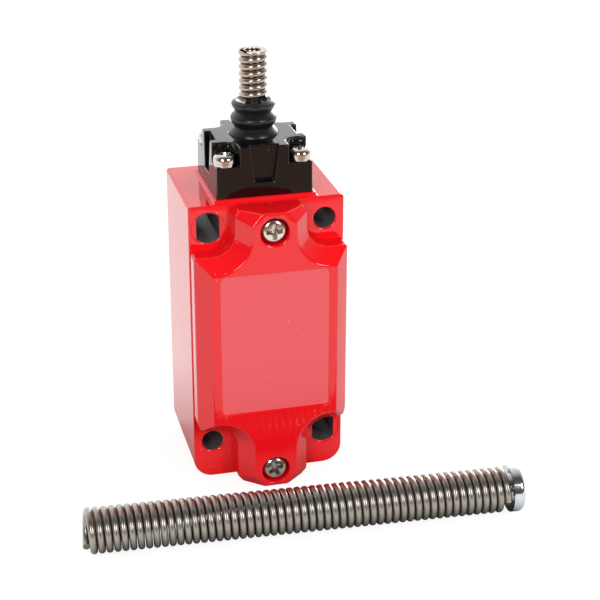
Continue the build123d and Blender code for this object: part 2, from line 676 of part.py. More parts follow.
def strap(side, z):
    """One brass strap: a leg into the contact chamber and a pad under its screw."""
    back = HEAD_AXIS_Y + BRIDGE_WIDTH / 2
    x0, x1 = sorted((side * STRAP_START, side * STRAP_END))
    leg = slab(x0, x1, PAD_Y, back, z, z + STRIP)
    inner = side * (TERMINAL_OFFSET - TERMINAL_SIZE / 2)
    outer = side * (TERMINAL_OFFSET + TERMINAL_SIZE / 2)
    x0, x1 = sorted((inner, outer))
    low = z - TERMINAL_DROP - TERMINAL_SIZE / 2
    pad = slab(x0, x1, PAD_Y, PAD_Y + STRIP, low, z + STRIP)
    hole = rod_forward(side * TERMINAL_OFFSET, PAD_Y + STRIP, z - TERMINAL_DROP, M35 + 2 * SLIP, STRIP)
    return leg + pad - hole


def straps():
    """The four straps, closed pair first."""
    return [strap(side, z) for z, way in strap_levels() for side in (-1, 1)]


def fixed_contacts(index):
    """One pair of straps: 0 for the closed contact, 1 for the open contact."""
    return group(straps()[2 * index:2 * index + 2])


def tip(side, z):
    """Silver contact rivet."""
    return post(side * TIP_OFFSET, HEAD_AXIS_Y, z, TIP_DIAMETER, TIP_HEIGHT)


def contact_tips():
    """Four silver rivets on the straps."""
    (closed, _), (opened, _) = strap_levels()
    levels = (closed - TIP_HEIGHT, opened + STRIP)
    return group(tip(side, z) for z in levels for side in (-1, 1))


def bridge(z, way):
    """Moving bridge with its two rivets, above it or below it."""
    front = HEAD_AXIS_Y - BRIDGE_WIDTH / 2
    bar = slab(-BRIDGE_LENGTH / 2, BRIDGE_LENGTH / 2, front, front + BRIDGE_WIDTH, z, z + STRIP)
    tip_z = z + STRIP if way > 0 else z - TIP_HEIGHT
    return bar + tip(-1, tip_z) + tip(1, tip_z)


def closed_bridge():
    """Bridge of the normally closed contact."""
    return bridge(CLOSED_Z, 1)


def open_bridge():
    """Bridge of the normally open contact."""
    return bridge(OPEN_Z, -1)


def contact_carrier():
    """Slide that the plunger pushes down, with a window for each bridge."""
    y = HEAD_AXIS_Y
    half = CARRIER_WIDTH / 2
    body = slab(-half, half, y - CARRIER_DEPTH / 2, y + CARRIER_DEPTH / 2, CARRIER_BASE_Z, CARRIER_TOP_Z)
    for low in (CLOSED_Z + STRIP - WINDOW_HEIGHT, OPEN_Z):
        half_y = BRIDGE_WIDTH / 2
        body -= slab(-half, half, y - half_y, y + half_y, low, low + WINDOW_HEIGHT)
    return body


def contact_springs():
    """Springs that press each bridge against its end of the window."""
    length = WINDOW_HEIGHT - STRIP
    spring = compression_spring(CONTACT_SPRING_DIAMETER, CONTACT_SPRING_TURNS, length)
    levels = (CLOSED_Z - length, OPEN_Z + STRIP)
    return group(Pos(0, HEAD_AXIS_Y, z) * spring for z in levels)


def carrier_spring():
    """Return spring under the contact carrier."""
    length = CARRIER_BASE_Z - BLOCK_FLOOR_Z
    spring = compression_spring(CARRIER_SPRING_DIAMETER, CARRIER_SPRING_TURNS, length)
    return Pos(0, HEAD_AXIS_Y, BLOCK_FLOOR_Z) * spring


def block_screw_place(side):
    """Front-view place of a contact block screw."""
    return side * BLOCK_SCREW_OFFSET, BLOCK_BASE_Z + BLOCK_SCREW_LEVEL


def contact_block():
    """Moulded block with the carrier's channel, contact chamber and terminal wells."""
    half = BLOCK_HALF
    y = HEAD_AXIS_Y
    body = slab(-half, half, BLOCK_FRONT_Y, CAVITY_BACK_Y, BLOCK_BASE_Z, BLOCK_TOP_Z)
    channel = CARRIER_WIDTH / 2 + RUNNING
    reach = CARRIER_DEPTH / 2 + RUNNING
    body -= slab(-channel, channel, y - reach, y + reach, BLOCK_FLOOR_Z, BLOCK_TOP_Z)
    chamber = CHAMBER_WIDTH / 2
    low = BLOCK_BASE_Z + CHAMBER_BASE
    body -= slab(-chamber, chamber, y - CHAMBER_DEPTH / 2, y + CHAMBER_DEPTH / 2, low, low + CHAMBER_HEIGHT)
    for side in (-1, 1):
        for z, way in strap_levels():
            x0, x1 = sorted((side * (TERMINAL_OFFSET - TERMINAL_WELL / 2), side * (half + CUT_PAST)))
            middle = z - TERMINAL_DROP
            well = TERMINAL_WELL / 2
            body -= slab(x0, x1, BLOCK_FRONT_Y, PAD_Y, middle - well, middle + well)
            depth = TERMINAL_SCREW_LENGTH - CLAMP_THICKNESS
            place = (side * TERMINAL_OFFSET, PAD_Y + depth, middle)
            body -= rod_forward(*place, M35 + 2 * SLIP, depth)
        x, z = block_screw_place(side)
        body -= rod_forward(x, CAVITY_BACK_Y, z, M3 + M3_ROOM, CAVITY_BACK_Y - BLOCK_FRONT_Y)
        sink_y = BLOCK_FRONT_Y + BLOCK_SCREW_SINK
        body -= rod_forward(x, sink_y, z, COVER_SCREW_HEAD + M3_ROOM, BLOCK_SCREW_SINK)
    for piece in straps():
        body -= piece
    return body


def block_screws():
    """Two long screws that hold the contact block on the housing's back wall."""
    seat_y = BLOCK_FRONT_Y + BLOCK_SCREW_SINK
    length = CAVITY_BACK_Y - seat_y + BLOCK_SCREW_GRIP - BLIND_ROOM
    places = [block_screw_place(side) for side in (-1, 1)]
    return group(front_screw(x, seat_y, z, COVER_SCREW_HEAD, M3, length) for x, z in places)


def terminal_places():
    """Front-view places of the four wiring terminals."""
    return [(side * TERMINAL_OFFSET, z - TERMINAL_DROP) for z, way in strap_levels() for side in (-1, 1)]


def clamp_plate(x, y, z):
    """Square wire clamp whose back lies at depth y."""
    outline = Pos(x, z) * RectangleRounded(TERMINAL_SIZE, TERMINAL_SIZE, CLAMP_CORNER)
    return forward(outline - Pos(x, z) * Circle(M35 / 2 + SLIP), y, CLAMP_THICKNESS)


def terminal_clamps():
    """Square clamps on the straps' pads."""
    return group(clamp_plate(x, PAD_Y, z) for x, z in terminal_places())


def terminal_screws():
    """Screws of the four wiring terminals."""
    seat_y = PAD_Y - CLAMP_THICKNESS
    return group(
        front_screw(x, seat_y, z, TERMINAL_SCREW_HEAD, M35, TERMINAL_SCREW_LENGTH)
        for x, z in terminal_places())


def earth_place():
    """Place of the earth terminal's seat."""
    return EARTH_X, CAVITY_BACK_Y - EARTH_BOSS_HEIGHT, CAVITY_BASE_Z + EARTH_ABOVE_FLOOR


def earth_clamp():
    """Square clamp of the earth terminal."""
    x, y, z = earth_place()
    return clamp_plate(x, y, z)


def earth_screw():
    """Screw of the earth terminal, in the casting's boss."""
    x, y, z = earth_place()
    return front_screw(x, y - CLAMP_THICKNESS, z, TERMINAL_SCREW_HEAD, M35, TERMINAL_SCREW_LENGTH)


def lay_rod(solid):
    """Lays a piece of the spring rod, made along +X from its open end, on the floor."""
    place = Pos(ROD_CENTRE_X, ROD_Y, ROD_Z) * Rot(0, 0, ROD_YAW)
    return place * Pos(-ROD_LENGTH / 2, 0, 0) * Rot(0, 90, 0) * solid


def rod_spring_length():
    """Length of the wound part of the spring rod."""
    return ROD_LENGTH - CAP_THICKNESS - CAP_GAP


def rod_spring():
    """Close-wound rod spring, one ridge for each turn of its wire."""
    turns = round(rod_spring_length() / ROD_PITCH)
    pitch = rod_spring_length() / turns
    crest = ROD_DIAMETER / 2
    valley = crest - ROD_VALLEY
    points = [(ROD_BORE / 2, 0), (valley, 0)]
    for turn in range(turns):
        points += [(crest, (turn + 0.5) * pitch), (valley, (turn + 1) * pitch)]
    points.append((ROD_BORE / 2, rod_spring_length()))
    profile = Plane.XZ * Polygon(*points, align=None)
    return lay_rod(revolve(profile, Axis.Z))


def rod_cap():
    """Turned end cap with a pin that grips the spring's bore."""
    base = rod_spring_length() + CAP_GAP
    cap = Pos(0, 0, base) * Cylinder(CAP_DIAMETER / 2, CAP_THICKNESS, align=UPRIGHT)
    cap = fillet(cap.edges().sort_by(Axis.Z)[-1:], CAP_ROUND)
    pin_length = CAP_PIN_LENGTH + CAP_GAP
    pin = Pos(0, 0, base - pin_length) * Cylinder(CAP_PIN_DIAMETER / 2, pin_length, align=UPRIGHT)
    return lay_rod(cap + pin)


PIECES = {
    "housing": housing,
    "cover": cover,
    "cover_gasket": cover_gasket,
    "cover_screws": cover_screws,
    "head": head,
    "head_gasket": head_gasket,
    "head_screws": head_screws,
    "head_washers": head_washers,
    "pivot_ring": pivot_ring,
    "stem_rocker": stem_rocker,
    "stub_spring": stub_spring,
    "boot": boot,
    "plunger": plunger,
    "guide_bush": guide_bush,
    "plunger_seal": plunger_seal,
    "plunger_spring": plunger_spring,
    "contact_block": contact_block,
    "block_screws": block_screws,
    "contact_carrier": contact_carrier,
    "carrier_spring": carrier_spring,
    "closed_bridge": closed_bridge,
    "open_bridge": open_bridge,
    "contact_springs": contact_springs,
    "closed_contacts": lambda: fixed_contacts(0),
    "open_contacts": lambda: fixed_contacts(1),
    "contact_tips": contact_tips,
    "terminal_clamps": terminal_clamps,
    "terminal_screws": terminal_screws,
    "earth_clamp": earth_clamp,
    "earth_screw": earth_screw,
    "rod_spring": rod_spring,
    "rod_cap": rod_cap,
}

os.makedirs("parts", exist_ok=True)
for name, make in PIECES.items():
    export_step(make(), f"parts/{name}.step")
    print("made", name)
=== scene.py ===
# %% [markdown]
# # A safety limit switch, finished in Blender
# The real object is a narrow die-cast box in gloss red, with a square black head, a rubber boot
# and a short stub spring that can lean any way. A long wound spring with a chromed end cap lies
# in front of it and is pushed over the stub in use. The solids already have their places and
# sizes. This script rounds their edges as paint does, winds the springs as real wire, cuts the
# cross recesses of the screws and gives every piece its finish.

# %% Load the solids
import math

import bmesh
import bpy
from mathutils import Matrix, Vector
from mathutils.geometry import intersect_point_line


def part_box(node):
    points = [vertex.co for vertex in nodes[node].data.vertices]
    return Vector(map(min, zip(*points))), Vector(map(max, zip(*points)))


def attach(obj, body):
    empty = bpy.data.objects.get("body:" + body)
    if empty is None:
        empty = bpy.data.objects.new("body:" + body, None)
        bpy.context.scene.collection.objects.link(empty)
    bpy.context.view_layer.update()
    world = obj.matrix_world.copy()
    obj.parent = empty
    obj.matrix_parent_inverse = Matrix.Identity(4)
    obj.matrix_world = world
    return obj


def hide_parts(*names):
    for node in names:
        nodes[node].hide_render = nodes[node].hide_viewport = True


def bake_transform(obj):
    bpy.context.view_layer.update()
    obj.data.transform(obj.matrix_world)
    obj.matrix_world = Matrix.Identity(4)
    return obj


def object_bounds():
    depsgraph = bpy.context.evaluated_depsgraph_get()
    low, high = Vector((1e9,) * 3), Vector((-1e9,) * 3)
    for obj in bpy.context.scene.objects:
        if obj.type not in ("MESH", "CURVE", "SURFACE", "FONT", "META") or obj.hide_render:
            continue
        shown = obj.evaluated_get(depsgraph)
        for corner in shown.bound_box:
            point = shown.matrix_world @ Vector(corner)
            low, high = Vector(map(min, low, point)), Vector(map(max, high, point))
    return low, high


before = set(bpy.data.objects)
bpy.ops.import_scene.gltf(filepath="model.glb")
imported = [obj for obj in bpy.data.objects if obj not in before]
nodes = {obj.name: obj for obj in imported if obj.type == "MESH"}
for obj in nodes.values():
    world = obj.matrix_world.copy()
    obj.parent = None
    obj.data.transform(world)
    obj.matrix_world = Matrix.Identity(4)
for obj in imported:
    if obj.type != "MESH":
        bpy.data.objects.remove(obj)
cad_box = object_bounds()
scene = bpy.context.scene
scene.view_settings.view_transform = "Standard"
MM = 0.001
print(len(nodes), "solids, from", [round(c / MM, 1) for c in cad_box[0]],
      "to", [round(c / MM, 1) for c in cad_box[1]], "mm")

# %% [markdown]
# ## The camera
# A product photograph is taken with a long lens from a little above. A camera could be placed by
# eye, but then the render couldn't be laid over the photograph. So the place, angles and focal
# length below came from matching the corners of the housing and its four mounting holes. The
# small shift stands for a picture that was cropped off the lens's axis.

# %% Camera
PICTURE_PX = 600
FOCAL_PX = 1510.6
AXIS_PX = (250, 225)
CAMERA_MM = (-81.2, -359.9, 207.6)
AZIMUTH, ELEVATION, ROLL = (math.radians(a) for a in (-12.62, 21.32, -0.64))

back = Vector((math.sin(AZIMUTH) * math.cos(ELEVATION),
               -math.cos(AZIMUTH) * math.cos(ELEVATION), math.sin(ELEVATION)))
sideways = Vector((0, 0, 1)).cross(back).normalized()
upright = back.cross(sideways)
right = sideways * math.cos(ROLL) + upright * math.sin(ROLL)
up = upright * math.cos(ROLL) - sideways * math.sin(ROLL)

lens = bpy.data.cameras.new("camera")
lens.lens = lens.sensor_width * FOCAL_PX / PICTURE_PX
lens.shift_x = (PICTURE_PX / 2 - AXIS_PX[0]) / PICTURE_PX
lens.shift_y = (AXIS_PX[1] - PICTURE_PX / 2) / PICTURE_PX
camera = bpy.data.objects.new("camera", lens)
scene.collection.objects.link(camera)
camera.matrix_world = Matrix.Translation(Vector(CAMERA_MM) * MM) @ Matrix(
    (right, up, back)).transposed().to_4x4()
scene.camera = camera
print("lens", round(lens.lens, 1), "mm, shift", round(lens.shift_x, 3), round(lens.shift_y, 3))

# %% [markdown]
# ## Helpers for materials
# A colour picked from a screen is stored in sRGB, while the shader works in linear light, so one
# function turns hex values to linear. Another adds a shader node, with its own settings, and
# fills or links its sockets. Every material below is built from these two. No real surface is
# all one colour and one gloss, so the last helper lets patterns drive both, and the relief too.

# %% Colour and node helpers
def linear(code):
    """Linear RGBA of an sRGB hex colour."""
    parts = [int(code[i:i + 2], 16) / 255 for i in (1, 3, 5)]
    return [p / 12.92 if p <= 0.04045 else ((p + 0.055) / 1.055) ** 2.4 for p in parts] + [1.0]


def add(tree, kind, sockets=None, **settings):
    """A shader node; sockets take values or links, settings are the node's own properties.
    The Mix node names its sockets alike, so they go by number: 2 and 3 are its two numbers,
    6 and 7 its two colours."""
    made = tree.nodes.new("ShaderNode" + kind)
    for key, value in settings.items():
        setattr(made, key, value)
    for socket, value in (sockets or {}).items():
        if isinstance(value, bpy.types.NodeSocket):
            tree.links.new(value, made.inputs[socket])
        else:
            made.inputs[socket].default_value = value
    return made


def finish(name, sockets):
    """A new material with one main shader; returns the material, its tree and that shader."""
    material = bpy.data.materials.new(name)
    material.use_nodes = True
    tree = material.node_tree
    tree.nodes.clear()
    shader = add(tree, "BsdfPrincipled", sockets)
    add(tree, "OutputMaterial", {"Surface": shader.outputs["BSDF"]})
    return material, tree, shader


def dress(tree, shader, tone, colours, relief, strength, depth_mm, gloss=None, roughness=0.0,
          spread=(1, 1)):
    """Two colours mixed by a tone, a relief that bends the light, and a roughness that a
    gloss pattern spreads between two shares of its typical value."""
    mixed = add(tree, "Mix", {0: tone, 6: linear(colours[0]), 7: linear(colours[1])},
                data_type="RGBA")
    bump = add(tree, "Bump", {"Height": relief, "Strength": strength, "Distance": depth_mm * MM})
    tree.links.new(mixed.outputs[2], shader.inputs["Base Color"])
    tree.links.new(bump.outputs[0], shader.inputs["Normal"])
    if gloss:
        cloudy = add(tree, "MapRange", {"Value": gloss, "To Min": spread[0] * roughness,
                                        "To Max": spread[1] * roughness})
        tree.links.new(cloudy.outputs[0], shader.inputs["Roughness"])


print("mid grey as linear light", [round(c, 3) for c in linear("#808080")])

# %% [markdown]
# ## Gloss paint
# The housing and cover are zinc die castings with a gloss red powder coat, and the head has the
# same coat in black. Powder flows out smooth but not flat: a faint orange peel of about 1 mm
# bends each reflection. Small nibs of dust, well under a millimetre, sit in the coat. The
# pigment reaches up to the surface, so one glossy layer over the colour is enough.

# %% Gloss paint
POLYMER_IOR = 1.5
PEEL_MM = 1.1
PEEL_DEPTH_MM = 0.2
PEEL_STRENGTH = 0.02
NIB_SPACING_MM = 3.2
NIB_SHARE = 0.035


def gloss_paint(name, colour, nib_colour, roughness):
    """Powder coat with orange peel and a few pale nibs."""
    material, tree, shader = finish(name, {"Roughness": roughness, "IOR": POLYMER_IOR})
    place = add(tree, "TexCoord").outputs["Object"]
    peel = add(tree, "TexNoise", {"Vector": place, "Scale": 1 / (PEEL_MM * MM), "Detail": 2.0})
    nibs = add(tree, "TexVoronoi", {"Vector": place, "Scale": 1 / (NIB_SPACING_MM * MM)})
    speck = add(tree, "Math", {0: nibs.outputs["Distance"], 1: NIB_SHARE}, operation="LESS_THAN")
    dress(tree, shader, speck.outputs[0], (colour, nib_colour), peel.outputs[0],
          PEEL_STRENGTH, PEEL_DEPTH_MM)
    return material


# The two gloss coats mirror the soft boxes sharply, and the frosted one blurs them to a haze.
red_coat = gloss_paint("red powder coat on zinc casting", "#e61019", "#f6b4b4", 0.07)
black_coat = gloss_paint("black powder coat on zinc casting", "#0a090a", "#8d8a8a", 0.06)
frosted_red = gloss_paint("red powder coat, frosted panel", "#e2565b", "#f6b4b4", 0.35)
print("paints:", red_coat.name, "and", black_coat.name)

# %% [markdown]
# ## Metals
# A metal needs a base colour, full metallic and the default IOR; what tells one metal from the
# other is its colour and how it was worked. Drawn wire carries fine lines along its length, and
# plated, ground or stamped metal is bright but slightly cloudy. Real drawing lines are finer
# than a tenth of a millimetre. They are drawn a little coarser here, so that they show.

# %% Metals
LINE_MM = 0.12
LINE_STRETCH = 40
LINE_DEPTH_MM = 0.01
LINE_STRENGTH = 0.25
LINE_SPREAD = (0.7, 1.3)
CLOUD_MM = 1.6
CLOUD_DEPTH_MM = 0.02
CLOUD_STRENGTH = 0.1
CLOUD_SPREAD = (0.7, 1.4)


def drawn_wire(name, colour, dark_colour, roughness):
    """Bright spring wire; its mesh gives the length along the wire as U, in metres."""
    material, tree, shader = finish(name, {"Metallic": 1.0, "Roughness": roughness})
    along = add(tree, "UVMap").outputs["UV"]
    lines = add(tree, "Mapping", {
        "Vector": along, "Scale": (1 / (LINE_MM * LINE_STRETCH * MM), 1 / (LINE_MM * MM), 1)})
    streaks = add(tree, "TexNoise", {"Vector": lines.outputs[0], "Scale": 1.0, "Detail": 3.0})
    place = add(tree, "TexCoord").outputs["Object"]
    clouds = add(tree, "TexNoise", {"Vector": place, "Scale": 1 / (CLOUD_MM * MM), "Detail": 3.0})
    dress(tree, shader, clouds.outputs[0], (colour, dark_colour), streaks.outputs[0],
          LINE_STRENGTH, LINE_DEPTH_MM, streaks.outputs[0], roughness, LINE_SPREAD)
    return material


def plated(name, colour, dark_colour, roughness):
    """Plated or ground metal: bright, with a faint cloudiness in colour and gloss."""
    material, tree, shader = finish(name, {"Metallic": 1.0})
    place = add(tree, "TexCoord").outputs["Object"]
    clouds = add(tree, "TexNoise", {"Vector": place, "Scale": 1 / (CLOUD_MM * MM), "Detail": 4.0})
    dress(tree, shader, clouds.outputs[0], (colour, dark_colour), clouds.outputs[0],
          CLOUD_STRENGTH, CLOUD_DEPTH_MM, clouds.outputs[0], roughness, CLOUD_SPREAD)
    return material


# The smoother a metal is, the sharper it mirrors: chrome most, sintered bronze hardly at all.
stub_wire = drawn_wire("nickel-plated spring wire", "#beb1a6", "#a09285", 0.26)
rod_wire = drawn_wire("drawn stainless spring wire", "#aca69d", "#8e8880", 0.3)
screw_plate = plated("bright nickel plate on screw steel", "#dcd6ce", "#bdb5ab", 0.16)
cap_chrome = plated("turned and chromed steel", "#d3d6da", "#bcc0c4", 0.12)
ground_steel = plated("ground and hardened steel", "#8d8984", "#6d6a66", 0.3)
inner_wire = plated("phosphated spring wire", "#7a7976", "#5c5b59", 0.35)
brass = plated("stamped brass strip", "#d8b16a", "#b98f4c", 0.25)
bronze = plated("sintered bronze", "#a77b45", "#8a6236", 0.5)
silver = plated("silver contact alloy", "#e2e1dc", "#c7c6c0", 0.2)
print("metals made; drawn lines every", LINE_MM, "mm")

# %% [markdown]
# ## Rubber and mouldings
# The boot is moulded in black chloroprene rubber. It is satin rather than dull, with a slightly
# uneven gloss from the mould and from handling. The seal and the gaskets are a duller rubber,
# and the parts inside are thermoplastic with a fine grain. The painted shade on the walls of the
# mounting holes is a dull dark grey, made the same way as a moulding.

# %% Rubber and mouldings
GRAIN_DEPTH_MM = 0.05
PATCH_SPREAD = (0.8, 1.2)


def moulded(name, colour, worn_colour, roughness, grain_mm, strength):
    """Moulded polymer with uneven gloss and a fine grain."""
    material, tree, shader = finish(name, {"IOR": POLYMER_IOR})
    place = add(tree, "TexCoord").outputs["Object"]
    grain = add(tree, "TexNoise", {"Vector": place, "Scale": 1 / (grain_mm * MM), "Detail": 3.0})
    patches = add(tree, "TexNoise", {"Vector": place, "Scale": 1 / (CLOUD_MM * MM)})
    dress(tree, shader, patches.outputs[0], (colour, worn_colour), grain.outputs[0],
          strength, GRAIN_DEPTH_MM, patches.outputs[0], roughness, PATCH_SPREAD)
    return material


# Satin boot, dull seals, a dull painted shade for the hole walls, and mouldings with a fine
# grain that breaks up the gloss.
boot_rubber = moulded("moulded chloroprene rubber", "#0e0d0e", "#171617", 0.34, 0.25, 0.1)
# Dark grey painted shade for the walls of the deep mounting holes, which get little light.
painted_hole_shade = moulded("dark grey painted shade in the bores", "#5e5759", "#453f41", 0.4, 0.4, 0.3)
seal_rubber = moulded("nitrile seal rubber", "#141414", "#1d1d1d", 0.6, 0.2, 0.2)
black_moulding = moulded("glass-filled polyamide, black", "#1b1b1d", "#242426", 0.45, 0.15, 0.3)
white_moulding = moulded("acetal, natural white", "#e4e0d4", "#d8d3c4", 0.35, 0.2, 0.2)
print("polymers made, with a relief up to", GRAIN_DEPTH_MM, "mm deep")

# %% [markdown]
# ## Painted castings
# A CAD solid has knife edges, but a coat of powder draws back from an edge and leaves it round,
# which is why each edge of the photographed switch shows a thin bright line. A bevel could round
# all edges by one width, but a shallow step has no room for it and would tear. So each sharp
# edge is measured first: its room is the way to the nearest corner of its faces, leaving out
# the corners of its own smooth run of edges.

# %% Room beside an edge
SHARP_DEG = 28
CHAIN_DEG = 40
CHAIN_COS = math.cos(math.radians(CHAIN_DEG))


def smooth_run(loop, forward, sharp):
    """Corners that carry a sharp edge on without a bend, one way; seams in a face are crossed."""
    corners, first = set(), loop
    while True:
        after = loop.link_loop_next if forward else loop.link_loop_prev
        while after.edge not in sharp:
            across = after.link_loop_radial_next
            after = across.link_loop_next if forward else across.link_loop_prev
        ends = [v.co for v in loop.edge.verts] + [v.co for v in after.edge.verts]
        way, turn = (ends[1] - ends[0]).normalized(), (ends[3] - ends[2]).normalized()
        if after is first or abs(way.dot(turn)) < CHAIN_COS:
            return corners
        corners.update(after.edge.verts)
        loop = after


def room(edge, sharp):
    """Distance from an edge to the nearest corner of its faces that isn't in its own run."""
    start, end = (v.co for v in edge.verts)
    nearest = []
    for loop in edge.link_loops:
        run = smooth_run(loop, True, sharp) | smooth_run(loop, False, sharp) | set(edge.verts)
        for vert in set(loop.face.verts) - run:
            spot, share = intersect_point_line(vert.co, start, end)
            spot = start.lerp(end, min(1.0, max(0.0, share)))
            nearest.append((vert.co - spot).length)
    return min(nearest, default=0.0)


print("edges that bend more than", SHARP_DEG, "degrees are rounded")

# %% [markdown]
# The triangles of a node are merged back to whole faces, because the seams between them are no
# edges of the real casting. Then each sharp edge gets a weight between 0 and 1, which is the
# share of the full width that fits beside it. Where one edge carries the next one on, both take
# the smaller weight, or the bevel would draw the corner between them out to a spike.

# %% Whole faces and weights
MERGE_MM = 0.002
FLAT_DEG = 0.4
ROOM_SHARE = 0.42
LEAST_WEIGHT = 0.06


def even_out(weights):
    """Give edges that carry each other on the smallest weight of their run."""
    settled = False
    while not settled:
        settled = True
        for edge in weights:
            way = (edge.verts[1].co - edge.verts[0].co).normalized()
            for other in {e for v in edge.verts for e in v.link_edges if e in weights}:
                turn = (other.verts[1].co - other.verts[0].co).normalized()
                if weights[other] < weights[edge] and abs(way.dot(turn)) > CHAIN_COS:
                    weights[edge] = weights[other]
                    settled = False


def whole_faces(source, width_mm):
    """The node's mesh as whole faces; each sharp edge gets the weight of its rounding."""
    work = bmesh.new()
    work.from_mesh(nodes[source].data)
    bmesh.ops.remove_doubles(work, verts=work.verts, dist=MERGE_MM * MM)
    bmesh.ops.dissolve_limit(work, angle_limit=math.radians(FLAT_DEG), verts=work.verts,
                             edges=work.edges)
    for face in work.faces:
        face.smooth = True
        face.material_index = 0
    layer = work.edges.layers.float.new("bevel_weight_edge")
    sharp = {e for e in work.edges if e.calc_face_angle(0) > math.radians(SHARP_DEG)}
    weights = {e: min(1.0, max(LEAST_WEIGHT, ROOM_SHARE * room(e, sharp) / (width_mm * MM)))
               for e in sharp}
    even_out(weights)
    for edge, weight in weights.items():
        edge[layer] = weight
    mesh = bpy.data.meshes.new(source)
    work.to_mesh(mesh)
    work.free()
    return mesh


print("a rounding takes up to", ROOM_SHARE, "of the room beside its edge")

# %% [markdown]
# The bevel rounds the weighted edges in three segments. A flat face with hundreds of corners
# may be filled badly when it is drawn, so such faces are split into triangles after the bevel.
# Weighted normals then keep the large faces flat to the eye and leave the shading to the rims.

# %% Painted castings
RIM_SEGMENTS = 3
SPLIT_FROM_CORNERS = 5
FACE_WEIGHT = 100
HOUSING_RIM_MM, COVER_RIM_MM, HEAD_RIM_MM = 0.35, 0.4, 0.3


def link(name, mesh, *materials):
    """A new object with that mesh and those materials."""
    piece = bpy.data.objects.new(name, mesh)
    scene.collection.objects.link(piece)
    for material in materials:
        mesh.materials.append(material)
    return piece


def rounded(name, source, slot, width_mm, *materials):
    """A painted copy of a node, with rounded edges, in the node's place."""
    piece = link(name, whole_faces(source, width_mm), *materials)
    bevel = piece.modifiers.new("rounded edges", "BEVEL")
    bevel.width = width_mm * MM
    bevel.segments = RIM_SEGMENTS
    bevel.limit_method = "WEIGHT"
    bevel.use_clamp_overlap = False
    split = piece.modifiers.new("large faces in triangles", "TRIANGULATE")
    split.min_vertices = SPLIT_FROM_CORNERS
    weighted = piece.modifiers.new("flat faces stay flat", "WEIGHTED_NORMAL")
    weighted.weight = FACE_WEIGHT
    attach(piece, "root")
    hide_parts(source)
    low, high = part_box(source)
    ready = piece.evaluated_get(bpy.context.evaluated_depsgraph_get()).data
    past = max(max(max(low - v.co), max(v.co - high)) for v in ready.vertices)
    print(name, "has", len(ready.polygons), "faces and stands", round(past / MM, 3),
          "mm past its solid")
    return piece


# The housing's second material is the painted shade on the walls of its holes.
housing = rounded("painted_housing", "housing", "red_paint", HOUSING_RIM_MM, red_coat,
                  painted_hole_shade)
cover = rounded("painted_cover", "cover", "red_paint", COVER_RIM_MM, red_coat, frosted_red)
head = rounded("painted_head", "head", "black_paint", HEAD_RIM_MM, black_coat)

# %% [markdown]
# The boot snaps into the head: the mouth of its seat is narrower than the lip below it. The
# corners on the mouth's rim are drawn in a little, which closes the gap round the first ring.

# %% Mouth of the boot's seat
SEAT_RADIUS_MM = 7.1
MOUTH_RADIUS_MM = 6.25
NEAR_MM = 0.05

low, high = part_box("head")
head_top = high.z
head_axis = Vector(((low.x + high.x) / 2, (low.y + high.y) / 2, 0))
drawn = 0
for vert in head.data.vertices:
    arm = (vert.co - head_axis).to_2d()
    at_top = abs(vert.co.z - head_top) < NEAR_MM * MM
    if at_top and abs(arm.length / MM - SEAT_RADIUS_MM) < NEAR_MM:
        vert.co.xy = head_axis.xy + arm * MOUTH_RADIUS_MM / SEAT_RADIUS_MM
        drawn += 1
print(drawn, "corners of the seat's mouth drawn in")

# %% [markdown]
# The walls of the deep mounting holes get little light and look nearly black from outside, so
# they carry a painted shade: a dark grey in place of the red. The faces whose middle lies inside
# a hole's radius get the second material: a lining as a piece of its own would do too, but the
# casting is one piece. The shallow panel of the cover has a frosted coat, which scatters more
# light.

# %% Painted shade on the hole walls, frosted panel
HOLE_X_MM = 15.0
HOLE_PITCH_MM = 60.0
HOLE_TOP_MM = 70.3
HOLE_REACH_MM = 3.98
PANEL_DEPTH_MM = 0.15
FRONT_FACING = 0.9
SIDE_FACING = 0.5

hole_places = [(sx * HOLE_X_MM, HOLE_TOP_MM - drop)
               for sx in (-1, 1) for drop in (0, HOLE_PITCH_MM)]
# The faces on the walls of the holes get the painted shade in place of the red.
shaded_hole_faces = 0
for face in housing.data.polygons:
    spot = face.center / MM
    near = any(math.hypot(spot.x - x, spot.z - z) < HOLE_REACH_MM for x, z in hole_places)
    if near and abs(face.normal.y) < SIDE_FACING:
        face.material_index = 1
        shaded_hole_faces += 1
panel_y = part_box("cover")[0].y / MM + PANEL_DEPTH_MM
frosted = 0
for face in cover.data.polygons:
    if abs(face.center.y / MM - panel_y) < PANEL_DEPTH_MM / 3 and face.normal.y < -FRONT_FACING:
        face.material_index = 1
        frosted += 1
print("hole walls with painted shade:", shaded_hole_faces, "faces; frosted panel:", frosted)

# %% [markdown]
# ## Spring wire
# A real spring is one wire wound into a helix, so each turn leans a little and the cut ends
# show. A stack of rings would be simpler, but it has neither. So a tube is built ring by ring
# along a helix: at each step the ring stands square to the wire. Its UVs hold the true length
# along the wire and round it, for the drawn lines of the finish.

# %% Wound wire
RING_SIDES = 14
STEPS_PER_TURN = 40
GROUND_SHARE = 0.12
FACING_UP = 0.999
CUT_END_DEG = 50


